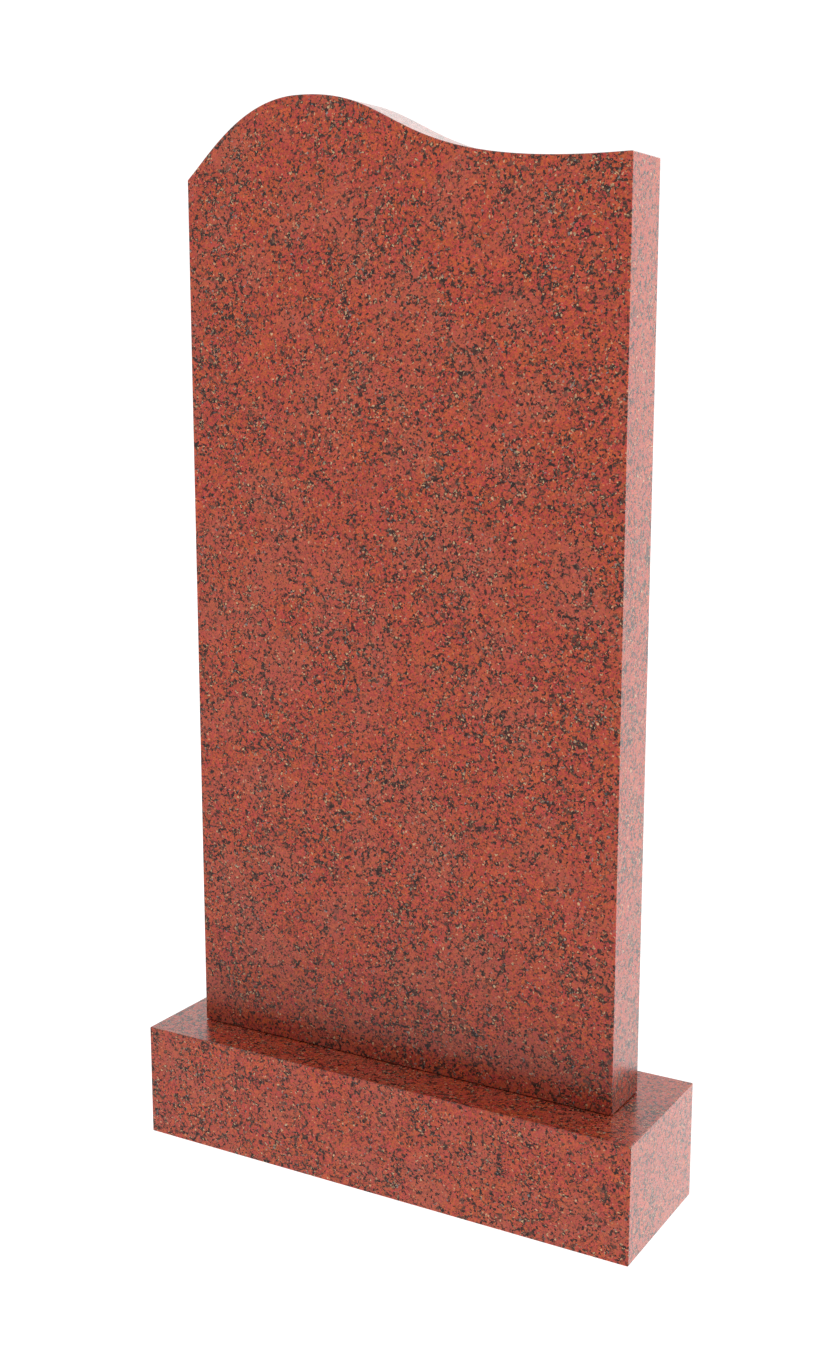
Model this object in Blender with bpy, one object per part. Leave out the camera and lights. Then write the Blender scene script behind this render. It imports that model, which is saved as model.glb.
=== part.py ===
# Upright headstone of polished red granite: a slab with a wave-shaped top, standing on a plain plinth.
# Metres, +Z up. The front faces -Y, and the origin is the centre of the plinth's underside.

import math

import bmesh
import bpy
from mathutils import Vector
from mathutils.geometry import interpolate_bezier

# Slab
SLAB_WIDTH = 0.600
SLAB_HEIGHT = 1.200  # from its foot to the crest of the wave
SLAB_THICKNESS = 0.080
SHOULDER_DROP = 0.090  # from the crest down to each end of the wave
CREST_FROM_LEFT = 0.164  # from the slab's left side to the crest

# Plinth, which the slab stands on centrally
LEDGE_AT_ENDS = 0.050  # plinth left showing beyond each side of the slab
LEDGE_AT_FACES = 0.060  # plinth left showing before and behind the slab
PLINTH_HEIGHT = 0.150

# Wave: one Bezier curve on each side of the crest, both level where they meet there.
# Each handle is given in shares of its own side's width, and of the shoulder drop.
LEFT_END_ALONG = 0.20
LEFT_END_UP = 0.30
CREST_ALONG_LEFT = 0.50
CREST_ALONG_RIGHT = 0.35
RIGHT_END_ALONG = 0.73
RIGHT_END_DOWN = 0.07
LEFT_STEPS = 24
RIGHT_STEPS = 48

# Edges and joint
ARRIS = 0.0015  # width of the rounding ground along every edge
ARRIS_STEPS = 3
SHARPEST_SMOOTH_ANGLE = math.radians(30)
BED_GAP = 0.0003  # between the slab's foot and the plinth's top

# Stone
GRANITE_RED = (0.33, 0.07, 0.045, 1.0)
POLISHED_ROUGHNESS = 0.12


def clear_scene():
    for old in list(bpy.data.objects):
        bpy.data.objects.remove(old, do_unlink=True)


def granite_material(name):
    material = bpy.data.materials.new(name)
    material.use_nodes = True
    shader = material.node_tree.nodes["Principled BSDF"]
    shader.inputs["Base Color"].default_value = GRANITE_RED
    shader.inputs["Roughness"].default_value = POLISHED_ROUGHNESS
    shader.inputs["Metallic"].default_value = 0.0
    return material


def wave_top():
    """The slab's top edge as (x, z) points, from its left end over the crest to its right end."""
    right_run = SLAB_WIDTH - CREST_FROM_LEFT
    crest = Vector((CREST_FROM_LEFT - SLAB_WIDTH / 2, SLAB_HEIGHT))
    left_end = crest - Vector((CREST_FROM_LEFT, SHOULDER_DROP))
    right_end = crest + Vector((right_run, -SHOULDER_DROP))
    left_curve = (
        left_end,
        left_end + Vector((LEFT_END_ALONG * CREST_FROM_LEFT, LEFT_END_UP * SHOULDER_DROP)),
        crest - Vector((CREST_ALONG_LEFT * CREST_FROM_LEFT, 0.0)),
        crest,
    )
    right_curve = (
        crest,
        crest + Vector((CREST_ALONG_RIGHT * right_run, 0.0)),
        right_end - Vector((RIGHT_END_ALONG * right_run, RIGHT_END_DOWN * SHOULDER_DROP)),
        right_end,
    )
    rise = interpolate_bezier(*left_curve, LEFT_STEPS + 1)
    fall = interpolate_bezier(*right_curve, RIGHT_STEPS + 1)
    return rise + fall[1:]


def slab_mesh():
    """The slab's front outline, foot first and then the wave from right to left, drawn back to its thickness."""
    shape = bmesh.new()
    front = -SLAB_THICKNESS / 2
    foot = [Vector((-SLAB_WIDTH / 2, 0.0)), Vector((SLAB_WIDTH / 2, 0.0))]
    outline = foot + wave_top()[::-1]
    corners = [shape.verts.new((point.x, front, point.y)) for point in outline]
    front_face = shape.faces.new(corners)
    drawn = bmesh.ops.extrude_face_region(shape, geom=[front_face], use_keep_orig=True)["geom"]
    back_corners = [item for item in drawn if isinstance(item, bmesh.types.BMVert)]
    bmesh.ops.translate(shape, verts=back_corners, vec=(0.0, SLAB_THICKNESS, 0.0))
    bmesh.ops.recalc_face_normals(shape, faces=shape.faces)
    return finished_mesh(shape, "headstone_slab")


def plinth_mesh():
    """A plain block, with its underside on the ground."""
    length = SLAB_WIDTH + 2 * LEDGE_AT_ENDS
    depth = SLAB_THICKNESS + 2 * LEDGE_AT_FACES
    shape = bmesh.new()
    bmesh.ops.create_cube(shape, size=1.0)
    bmesh.ops.scale(shape, verts=shape.verts, vec=(length, depth, PLINTH_HEIGHT))
    bmesh.ops.translate(shape, verts=shape.verts, vec=(0.0, 0.0, PLINTH_HEIGHT / 2))
    return finished_mesh(shape, "plinth")


def finished_mesh(shape, name):
    mesh = bpy.data.meshes.new(name)
    shape.to_mesh(mesh)
    shape.free()
    mesh.shade_smooth()
    mesh.set_sharp_from_angle(angle=SHARPEST_SMOOTH_ANGLE)
    return mesh


def add_stone(name, mesh, height, assembly):
    """One block of stone at its height above the ground, with the rounding of its edges."""
    stone = bpy.data.objects.new(name, mesh)
    bpy.context.scene.collection.objects.link(stone)
    stone.parent = assembly
    stone.location = (0.0, 0.0, height)
    mesh.materials.append(granite_material(name + "_granite"))
    arris = stone.modifiers.new("arris", "BEVEL")
    arris.width = ARRIS
    arris.segments = ARRIS_STEPS
    arris.limit_method = "ANGLE"
    arris.angle_limit = SHARPEST_SMOOTH_ANGLE
    arris.harden_normals = True


def build_headstone():
    clear_scene()
    assembly = bpy.data.objects.new("headstone", None)
    bpy.context.scene.collection.objects.link(assembly)
    add_stone("plinth", plinth_mesh(), 0.0, assembly)
    add_stone("headstone_slab", slab_mesh(), PLINTH_HEIGHT + BED_GAP, assembly)


build_headstone()
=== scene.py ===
import math

import bpy
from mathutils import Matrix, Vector


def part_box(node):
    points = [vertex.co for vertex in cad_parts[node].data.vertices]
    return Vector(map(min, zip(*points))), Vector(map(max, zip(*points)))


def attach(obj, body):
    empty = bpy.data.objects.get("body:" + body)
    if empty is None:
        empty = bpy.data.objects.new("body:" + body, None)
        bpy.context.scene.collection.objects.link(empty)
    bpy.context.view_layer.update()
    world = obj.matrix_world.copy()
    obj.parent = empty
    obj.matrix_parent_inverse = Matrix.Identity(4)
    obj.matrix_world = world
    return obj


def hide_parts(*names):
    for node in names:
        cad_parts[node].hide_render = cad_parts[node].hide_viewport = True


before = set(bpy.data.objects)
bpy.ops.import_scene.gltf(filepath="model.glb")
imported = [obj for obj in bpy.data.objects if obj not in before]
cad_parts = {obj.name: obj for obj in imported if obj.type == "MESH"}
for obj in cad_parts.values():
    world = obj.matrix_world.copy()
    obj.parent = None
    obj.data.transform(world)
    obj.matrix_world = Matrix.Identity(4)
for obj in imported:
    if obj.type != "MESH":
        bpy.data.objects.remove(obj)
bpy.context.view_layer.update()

print("frame loaded:", ", ".join(sorted(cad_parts)))


# Small helpers for nodes

def put(tree, kind, inputs=None, **settings):
    node = tree.nodes.new(kind)
    for name, value in settings.items():
        setattr(node, name, value)
    for name, value in (inputs or {}).items():
        if isinstance(value, bpy.types.NodeSocket):
            tree.links.new(value, node.inputs[name])
        else:
            node.inputs[name].default_value = value
    return node


def doMath(tree, operation, *values, clamp=False):
    node = put(tree, "ShaderNodeMath", dict(enumerate(values)), operation=operation, use_clamp=clamp)
    return node.outputs[0]


def remap(tree, value, fromLow, fromHigh, toLow=0.0, toHigh=1.0, curve="SMOOTHSTEP"):
    node = put(tree, "ShaderNodeMapRange", interpolation_type=curve, inputs={
        "Value": value, "From Min": fromLow, "From Max": fromHigh, "To Min": toLow, "To Max": toHigh})
    return node.outputs["Result"]


# the Mix node has other sockets for numbers than for colours
def blendValue(tree, amount, first, second):
    return put(tree, "ShaderNodeMix", {0: amount, 2: first, 3: second}).outputs[0]


def blendColor(tree, amount, first, second):
    return put(tree, "ShaderNodeMix", {0: amount, 6: first, 7: second}, data_type="RGBA").outputs[2]


# Red granite, as one node group. Sizes are in metres, and the voronoi cells are its crystals and flecks.

granite = {
    "crystalSize": 0.013,          # feldspar crystals, which the dark flecks lie around
    "grainSize": 0.0021,           # the finer grain inside them
    "boundaryWaves": 260.0,        # all boundaries are wavy: waves per metre, and how far they may reach
    "boundaryReach": 0.0055,
    "orange": (0.535, 0.101, 0.026, 1),
    "rose": (0.462, 0.045, 0.043, 1),
    "crystalHue": 0.10,            # how much each crystal and each grain turns the rose to orange
    "grainHue": 0.70,
    "hueFade": (0.10, 0.90),
    "crystalShade": (0.93, 1.07),  # the darkest and the lightest
    "grainShade": (0.78, 1.14),
    "hazeTone": (0.455, 0.107, 0.068, 1),   # clouded feldspar
    "seamFade": (0.02, 0.13),      # width of the seams between crystals, in crystals,
    "seamFlecks": (0.53, 0.02),    # and how thick the flecks are on the seams and off them
    "fleckSize": 0.0030,           # biotite and hornblende flecks
    "fleckShare": 0.70,
    "fineFleckSize": 0.0016,
    "fineFleckShare": 0.33,
    "thinFlecks": 0.16,            # some flecks are thin and let the feldspar through
    "charcoal": (0.022, 0.006, 0.005, 1),
    "umber": (0.110, 0.040, 0.022, 1),
    "umberFade": (0.45, 1.0),
    "smudge": (0.175, 0.040, 0.024, 1),     # flecks seen through feldspar
    "lump": (0.125, 0.052, 0.038, 1),       # a few single dull crystals
    "lumpSize": 0.0060,
    "lumpShare": 0.010,
    "lumpDepth": (0.45, 0.95),
    "cream": (0.66, 0.42, 0.23, 1),         # specks of pale feldspar and of quartz
    "steel": (0.25, 0.24, 0.23, 1),
    "steelFade": (0.70, 0.75),
    "speckSize": 0.0019,
    "speckShare": 0.007,
    "speckShareByFlecks": 0.19,    # added where the flecks are
    "speckDepth": (0.15, 0.95),
}

# what varies from place to place: waves per metre and detail of a noise, the noise's values
# where it sets in and where it is full, and what it gives there
graniteNoise = {
    "hue": (45.0, 3.0, 0.35, 0.65, 0.02, 0.18),
    "shade": (420.0, 3.0, 0.25, 0.75, 0.84, 1.16),
    "haze": (18.0, 3.0, 0.42, 0.66, 0.0, 0.42),
    "chains": (60.0, 2.0, 0.40, 0.62, 0.25, 1.30),
    "clusters": (75.0, 2.0, 0.42, 0.68, 0.0, 0.16),
    "clots": (150.0, 1.0, 0.62, 0.72, 0.0, 0.50),
    "patches": (11.0, 1.0, 0.35, 0.65, 0.65, 1.35),
    "smudges": (190.0, 2.0, 0.50, 0.72, 0.0, 1.6),
}


def makeGraniteGroup():
    tree = bpy.data.node_groups.new("redGranite", "ShaderNodeTree")
    tree.interface.new_socket("Position", in_out="INPUT", socket_type="NodeSocketVector")
    for name, value in (("Crystal Size", granite["crystalSize"]), ("Fleck Size", granite["fleckSize"]),
                        ("Fleck Share", 1.0)):
        tree.interface.new_socket(name, in_out="INPUT", socket_type="NodeSocketFloat").default_value = value
    for name, kind in (("Color", "NodeSocketColor"), ("Flecks", "NodeSocketFloat")):
        tree.interface.new_socket(name, in_out="OUTPUT", socket_type=kind)
    inside = put(tree, "NodeGroupInput")
    position = inside.outputs["Position"]

    def noise(scale, detail=2.0):
        return put(tree, "ShaderNodeTexNoise", {"Vector": position, "Scale": scale, "Detail": detail})

    def vary(name, curve="SMOOTHSTEP"):
        scale, detail, *levels = graniteNoise[name]
        return remap(tree, noise(scale, detail).outputs["Fac"], *levels, curve)

    def cells(size, **settings):
        scale = doMath(tree, "DIVIDE", 1.0, size)
        return put(tree, "ShaderNodeTexVoronoi", {"Vector": stirred, "Scale": scale}, **settings)

    # three draws between 0 and 1 for each cell
    def draws(voronoi):
        split = put(tree, "ShaderNodeSeparateColor", {"Color": voronoi.outputs["Color"]})
        return [split.outputs[index] for index in range(3)]

    def between(draw, low, high):
        return remap(tree, draw, 0.0, 1.0, low, high, "LINEAR")

    # the position itself is stirred a little, which makes the boundaries wavy
    centred = put(tree, "ShaderNodeVectorMath", {
        0: noise(granite["boundaryWaves"]).outputs["Color"], 1: (0.5, 0.5, 0.5)}, operation="SUBTRACT")
    nudge = put(tree, "ShaderNodeVectorMath", {0: centred.outputs[0], "Scale": granite["boundaryReach"]},
                operation="SCALE")
    stirred = put(tree, "ShaderNodeVectorMath", {0: position, 1: nudge.outputs[0]}).outputs[0]

    # feldspar: each crystal and each finer grain has its own hue, which drifts over a few centimetres
    crystalHue, crystalShade, _ = draws(cells(inside.outputs["Crystal Size"]))
    grainHue, grainShade, _ = draws(cells(granite["grainSize"]))
    hue = doMath(tree, "MULTIPLY_ADD", crystalHue, granite["crystalHue"], vary("hue"))
    hue = doMath(tree, "MULTIPLY_ADD", grainHue, granite["grainHue"], hue)
    feldspar = blendColor(tree, remap(tree, hue, *granite["hueFade"]), granite["rose"], granite["orange"])
    shade = doMath(tree, "MULTIPLY", between(crystalShade, *granite["crystalShade"]),
                   between(grainShade, *granite["grainShade"]))
    shade = doMath(tree, "MULTIPLY", shade, vary("shade", "LINEAR"))
    feldspar = put(tree, "ShaderNodeHueSaturation", {"Color": feldspar, "Value": shade}).outputs[0]
    feldspar = blendColor(tree, vary("haze"), feldspar, granite["hazeTone"])

    # flecks gather in chains along the seams between crystals, in clusters and in a few tight clots
    seams = cells(inside.outputs["Crystal Size"], feature="DISTANCE_TO_EDGE").outputs["Distance"]
    seams = remap(tree, seams, *granite["seamFade"], *granite["seamFlecks"])
    gathering = doMath(tree, "MULTIPLY", seams, vary("chains"))
    gathering = doMath(tree, "ADD", gathering, vary("clusters"))
    gathering = doMath(tree, "ADD", gathering, vary("clots"))
    gathering = doMath(tree, "MULTIPLY", gathering, vary("patches"))
    gathering = doMath(tree, "MULTIPLY", gathering, inside.outputs["Fleck Share"])

    smudges = doMath(tree, "MULTIPLY", vary("smudges"), gathering, clamp=True)
    color = blendColor(tree, smudges, feldspar, granite["smudge"])

    lumpDraw, _, lumpDepth = draws(cells(granite["lumpSize"]))
    lumps = doMath(tree, "LESS_THAN", lumpDraw, granite["lumpShare"])
    lumps = doMath(tree, "MULTIPLY", lumps, between(lumpDepth, *granite["lumpDepth"]))
    color = blendColor(tree, lumps, color, granite["lump"])

    # a cell whose draw is only a little over the share is a thin, see-through fleck
    def flecks(size, share, below):
        draw, tone, _ = draws(cells(size))
        over = doMath(tree, "SUBTRACT", draw, doMath(tree, "MULTIPLY", gathering, share))
        cover = remap(tree, over, 0.0, granite["thinFlecks"], 1.0, 0.0, "LINEAR")
        tone = remap(tree, tone, *granite["umberFade"])
        fleck = blendColor(tree, tone, granite["charcoal"], granite["umber"])
        return cover, blendColor(tree, cover, below, fleck)

    _, color = flecks(granite["fineFleckSize"], granite["fineFleckShare"], color)
    dark, color = flecks(inside.outputs["Fleck Size"], granite["fleckShare"], color)

    speckDraw, speckTone, speckDepth = draws(cells(granite["speckSize"]))
    share = doMath(tree, "MULTIPLY_ADD", gathering, granite["speckShareByFlecks"], granite["speckShare"])
    specks = doMath(tree, "LESS_THAN", speckDraw, share)
    specks = doMath(tree, "MULTIPLY", specks, between(speckDepth, *granite["speckDepth"]))
    speckTone = remap(tree, speckTone, *granite["steelFade"])
    color = blendColor(tree, specks, color, blendColor(tree, speckTone, granite["cream"], granite["steel"]))
    put(tree, "NodeGroupOutput", {"Color": color, "Flecks": dark})
    return tree


def makeGranite(name, group, offset):
    material = bpy.data.materials.new(name)
    material.use_nodes = True
    tree = material.node_tree
    place = put(tree, "ShaderNodeTexCoord").outputs["Object"]
    place = put(tree, "ShaderNodeMapping", {"Vector": place, "Location": offset}).outputs[0]
    stone = put(tree, "ShaderNodeGroup", node_tree=group)
    tree.links.new(place, stone.inputs["Position"])
    return material, tree, place, stone


# Faces and edges, polished

polished = {
    "roughness": (0.25, 0.29),     # of the feldspar, and of the flecks, which take less polish
    "ior": 1.38,
}


def makePolishedGranite(name, group, offset):
    material, tree, _, stone = makeGranite(name, group, offset)
    shader = tree.nodes["Principled BSDF"]
    tree.links.new(stone.outputs["Color"], shader.inputs["Base Color"])
    gloss = remap(tree, stone.outputs["Flecks"], 0.0, 1.0, *polished["roughness"], "LINEAR")
    tree.links.new(gloss, shader.inputs["Roughness"])
    shader.inputs["IOR"].default_value = polished["ior"]
    return material


# Undersides, left as the saw cut them: paler and matt, with faint straight marks

sawn = {
    "tone": (0.46, 0.22, 0.17, 1),
    "toneShare": (0.38, 0.50),     # in the grooves and on the ridges of the marks
    "roughness": (0.74, 0.84),
    "marks": {"Scale": 55.0, "Distortion": 3.0, "Detail": 3.0, "Detail Scale": 4.0},
    "marksHeight": {"Strength": 0.35, "Distance": 0.0006},
}


def makeSawnGranite(name, group, offset):
    material, tree, place, stone = makeGranite(name, group, offset)
    shader = tree.nodes["Principled BSDF"]
    marks = put(tree, "ShaderNodeTexWave", {"Vector": place, **sawn["marks"]},
                bands_direction="X").outputs["Fac"]
    color = blendColor(tree, remap(tree, marks, 0.0, 1.0, *sawn["toneShare"]),
                       stone.outputs["Color"], sawn["tone"])
    bump = put(tree, "ShaderNodeBump", {"Height": marks, **sawn["marksHeight"]})
    roughness = remap(tree, marks, 0.0, 1.0, *sawn["roughness"], "LINEAR")
    tree.links.new(color, shader.inputs["Base Color"])
    tree.links.new(bump.outputs["Normal"], shader.inputs["Normal"])
    tree.links.new(roughness, shader.inputs["Roughness"])
    return material


# Selecting and rounding, for both pieces

sharpFrom = math.radians(30)       # edges from this angle up are rounded
smoothUpTo = math.radians(40)      # faces up to this angle are shaded as one surface
pointsDown = -0.999                # a face whose normal is lower than this is an underside
sameHeight = 0.0001                # heights closer than this count as one


def deselectAll():
    if bpy.context.mode != "OBJECT":
        bpy.ops.object.mode_set(mode="OBJECT")
    bpy.ops.object.select_all(action="DESELECT")


def pickFaces(piece, wanted):
    bpy.ops.object.mode_set(mode="EDIT")
    bpy.ops.mesh.select_mode(type="FACE")
    bpy.ops.mesh.select_all(action="DESELECT")
    bpy.ops.object.mode_set(mode="OBJECT")
    for face in piece.data.polygons:
        face.select = wanted(face)
    bpy.ops.object.mode_set(mode="EDIT")


def pickSharpEdges(piece, wanted):
    bpy.ops.object.mode_set(mode="EDIT")
    bpy.ops.mesh.select_mode(type="EDGE")
    bpy.ops.mesh.select_all(action="DESELECT")
    bpy.ops.mesh.edges_select_sharp(sharpness=sharpFrom)
    bpy.ops.object.mode_set(mode="OBJECT")
    for face in piece.data.polygons:
        face.select = False
    for edge in piece.data.edges:
        top = max(piece.data.vertices[index].co.z for index in edge.vertices)
        edge.select = edge.select and wanted(top)
    bpy.ops.object.mode_set(mode="EDIT")


def roundArrises(piece, width, steps, wanted=lambda top: True):
    # every sharp edge whose top is at a wanted height
    pickSharpEdges(piece, wanted)
    bpy.ops.mesh.bevel(offset=width, segments=steps, profile=0.5)
    bpy.ops.object.mode_set(mode="OBJECT")
    bpy.ops.object.shade_smooth_by_angle(angle=smoothUpTo)
    flat = piece.modifiers.new("flat faces", "WEIGHTED_NORMAL")
    flat.keep_sharp = True
    bpy.ops.object.modifier_apply(modifier=flat.name)


# Slab: its outline is drawn as a Bezier curve, filled, drawn back to the thickness and rounded

slab = {
    "shoulderDrop": 0.090,         # from the crest down to each end of the wave
    "crestFromLeft": 0.164,
    "leftEndAlong": 0.20,          # handles, in shares of their own side's width and of the drop
    "leftEndUp": 0.30,
    "crestAlongLeft": 0.50,
    "crestAlongRight": 0.35,
    "rightEndAlong": 0.73,
    "rightEndDown": 0.07,
    "curveSteps": 56,
    "arris": 0.0015,
    "arrisSteps": 4,
    "jointHeight": 0.0014,         # the bed joint, raked back all round under the foot
    "jointDepth": 0.0040,
    "stoneOffset": (0.31, 0.12, 0.07),      # where in the block of granite the piece was cut
}


def slabOutlinePoints(low, high):
    run = high.x - low.x - slab["crestFromLeft"]
    crest = Vector((low.x + slab["crestFromLeft"], low.y, high.z))
    leftEnd = Vector((low.x, low.y, high.z - slab["shoulderDrop"]))
    rightEnd = Vector((high.x, low.y, high.z - slab["shoulderDrop"]))
    foot = low.z + slab["jointHeight"]
    footLeft, footRight = Vector((low.x, low.y, foot)), Vector((high.x, low.y, foot))
    leftHandle = leftEnd + Vector((slab["leftEndAlong"] * slab["crestFromLeft"], 0,
                                   slab["leftEndUp"] * slab["shoulderDrop"]))
    rightHandle = rightEnd - Vector((slab["rightEndAlong"] * run, 0,
                                     slab["rightEndDown"] * slab["shoulderDrop"]))
    crestLeft = crest - Vector((slab["crestAlongLeft"] * slab["crestFromLeft"], 0, 0))
    crestRight = crest + Vector((slab["crestAlongRight"] * run, 0, 0))
    # point, handle before it, handle after it; no handle means a straight side
    return [(footRight, None, None), (footLeft, None, None), (leftEnd, None, leftHandle),
            (crest, crestLeft, crestRight), (rightEnd, rightHandle, None)]


def buildSlab():
    low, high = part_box("headstone_slab")
    deselectAll()
    bpy.ops.curve.primitive_bezier_curve_add()
    drawn = bpy.context.object
    drawn.data.resolution_u = slab["curveSteps"]
    spline = drawn.data.splines[0]
    points = slabOutlinePoints(low, high)
    spline.bezier_points.add(len(points) - len(spline.bezier_points))
    spline.use_cyclic_u = True
    for knot, (place, before, after) in zip(spline.bezier_points, points):
        knot.co = place
        knot.handle_left_type = "FREE" if before else "VECTOR"
        knot.handle_right_type = "FREE" if after else "VECTOR"
        if before:
            knot.handle_left = before
        if after:
            knot.handle_right = after
    drawn.matrix_world.identity()
    bpy.ops.object.convert(target="MESH")
    piece = bpy.context.object
    piece.name = piece.data.name = "slab"

    bpy.ops.object.mode_set(mode="EDIT")
    bpy.ops.mesh.select_all(action="SELECT")
    bpy.ops.mesh.edge_face_add()
    bpy.ops.mesh.extrude_region_move(TRANSFORM_OT_translate={"value": (0, high.y - low.y, 0)})
    bpy.ops.mesh.select_all(action="SELECT")
    bpy.ops.mesh.normals_make_consistent(inside=False)

    pickFaces(piece, lambda face: face.normal.z < pointsDown)
    bpy.ops.mesh.inset(thickness=slab["jointDepth"])
    bpy.ops.mesh.extrude_region_move(TRANSFORM_OT_translate={"value": (0, 0, -slab["jointHeight"])})
    # the edges of the joint stay sharp
    jointTop = low.z + slab["jointHeight"] + sameHeight
    roundArrises(piece, slab["arris"], slab["arrisSteps"], lambda top: top > jointTop)
    return piece


# Plinth: a plain block with rounded edges

plinth = {
    "arris": 0.0015,
    "arrisSteps": 4,
    "stoneOffset": (1.73, 0.94, 0.55),
}


def buildPlinth():
    low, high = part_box("plinth")
    deselectAll()
    bpy.ops.mesh.primitive_cube_add(size=1, location=(low + high) / 2, scale=high - low)
    piece = bpy.context.object
    piece.name = piece.data.name = "plinthBlock"
    bpy.ops.object.transform_apply(location=True, rotation=True, scale=True)
    roundArrises(piece, plinth["arris"], plinth["arrisSteps"])
    return piece


# Studio: pale floor, soft surroundings, camera at the photograph's angle

studio = {
    "backdropGlow": 1.10,              # plain white, as the camera sees the surroundings and the floor
    "levelGlow": (0.58, 0.26),         # light on the stone from a little below level and a little above it
    "steepGlow": (2.88, 0.98),         # added from straight below and from straight above
    "levelFade": (-0.10, 0.10),        # heights between which one turns into the other
    "sideGain": 0.60,                  # share added towards the left and the right
    "backGain": (0.0, 0.45),           # and towards the back, below level and above it; less in front
    "shine": 0.95,                     # what the polish reflects all round
    "backShine": 1.32,                 # added from behind the stone, round this direction
    "backDirection": (0.37, 0.93, 0.0),
    "backFade": (0.65, 0.94),          # as the cosine of the angle to it
    "upperShine": 0.97,                # and added from above, between these heights
    "upperFade": (0.14, 0.40),
    "floorColor": (0.10, 0.10, 0.10, 1),
    "floorSize": 60.0,
}

cameraView = {
    "location": (1.0246, -1.7655, 1.0344),
    "azimuth": 30.058,
    "lookDown": 10.107,
    "lens": 44.462,
    "sensorWidth": 36.0,
    "shiftY": -0.01013,
}


def lightOnStone(tree, direction):
    split = put(tree, "ShaderNodeSeparateXYZ", {0: direction})
    height = split.outputs["Z"]
    level = remap(tree, height, *studio["levelFade"], *studio["levelGlow"])
    steep = remap(tree, height, *studio["levelFade"], *studio["steepGlow"])
    light = doMath(tree, "MULTIPLY_ADD", doMath(tree, "MULTIPLY", height, height), steep, level)
    across = doMath(tree, "MULTIPLY", split.outputs["X"], split.outputs["X"])
    gain = doMath(tree, "MULTIPLY_ADD", across, studio["sideGain"], 1.0)
    backGain = remap(tree, height, *studio["levelFade"], *studio["backGain"])
    gain = doMath(tree, "MULTIPLY_ADD", split.outputs["Y"], backGain, gain)
    return doMath(tree, "MULTIPLY", light, gain)


def shineInPolish(tree, direction):
    height = put(tree, "ShaderNodeSeparateXYZ", {0: direction}).outputs["Z"]
    toBack = put(tree, "ShaderNodeVectorMath", {0: direction, 1: studio["backDirection"]},
                 operation="DOT_PRODUCT").outputs["Value"]
    back = remap(tree, toBack, *studio["backFade"], 0.0, studio["backShine"])
    upper = remap(tree, height, *studio["upperFade"], 0.0, studio["upperShine"])
    return doMath(tree, "ADD", doMath(tree, "ADD", back, upper), studio["shine"])


def makeSurroundings():
    world = bpy.data.worlds.new("softStudio")
    bpy.context.scene.world = world
    world.use_nodes = True
    tree = world.node_tree
    direction = put(tree, "ShaderNodeTexCoord").outputs["Generated"]
    ray = put(tree, "ShaderNodeLightPath")
    glow = blendValue(tree, ray.outputs["Is Glossy Ray"], lightOnStone(tree, direction),
                      shineInPolish(tree, direction))
    glow = blendValue(tree, ray.outputs["Is Camera Ray"], glow, studio["backdropGlow"])
    tree.links.new(glow, tree.nodes["Background"].inputs["Strength"])
    tree.nodes["Background"].inputs["Color"].default_value = (1, 1, 1, 1)


def makeFloor():
    # the floor is only seen, so that light reaches the stone from below as well
    deselectAll()
    bpy.ops.mesh.primitive_plane_add(size=studio["floorSize"])
    floor = bpy.context.object
    floor.name = "floor"
    floor.visible_diffuse = floor.visible_glossy = floor.visible_shadow = False
    material = bpy.data.materials.new("paleFloor")
    material.use_nodes = True
    shader = material.node_tree.nodes["Principled BSDF"]
    shader.inputs["Base Color"].default_value = studio["floorColor"]
    shader.inputs["Roughness"].default_value = 1.0
    shader.inputs["Specular IOR Level"].default_value = 0.0
    shader.inputs["Emission Color"].default_value = (1, 1, 1, 1)
    shader.inputs["Emission Strength"].default_value = studio["backdropGlow"]
    floor.data.materials.append(material)


def makeCamera():
    bpy.ops.object.camera_add(location=cameraView["location"], rotation=(
        math.radians(90 - cameraView["lookDown"]), 0, math.radians(cameraView["azimuth"])))
    camera = bpy.context.object
    camera.data.sensor_width = cameraView["sensorWidth"]
    camera.data.lens = cameraView["lens"]
    camera.data.shift_y = cameraView["shiftY"]
    bpy.context.scene.camera = camera


makeCamera()
makeFloor()
makeSurroundings()
bpy.context.scene.view_settings.view_transform = "Standard"
print("studio ready")

graniteGroup = makeGraniteGroup()
pieces = (
    (buildSlab(), "headstone_slab", slab["stoneOffset"]),
    (buildPlinth(), "plinth", plinth["stoneOffset"]),
)
for piece, node, offset in pieces:
    piece.data.materials.append(makePolishedGranite(piece.name + "Polished", graniteGroup, offset))
    piece.data.materials.append(makeSawnGranite(piece.name + "Sawn", graniteGroup, offset))
    for face in piece.data.polygons:
        face.material_index = 1 if face.normal.z < pointsDown else 0
    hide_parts(node)
    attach(piece, "root")
    print(piece.name, "built:", len(piece.data.polygons), "faces")
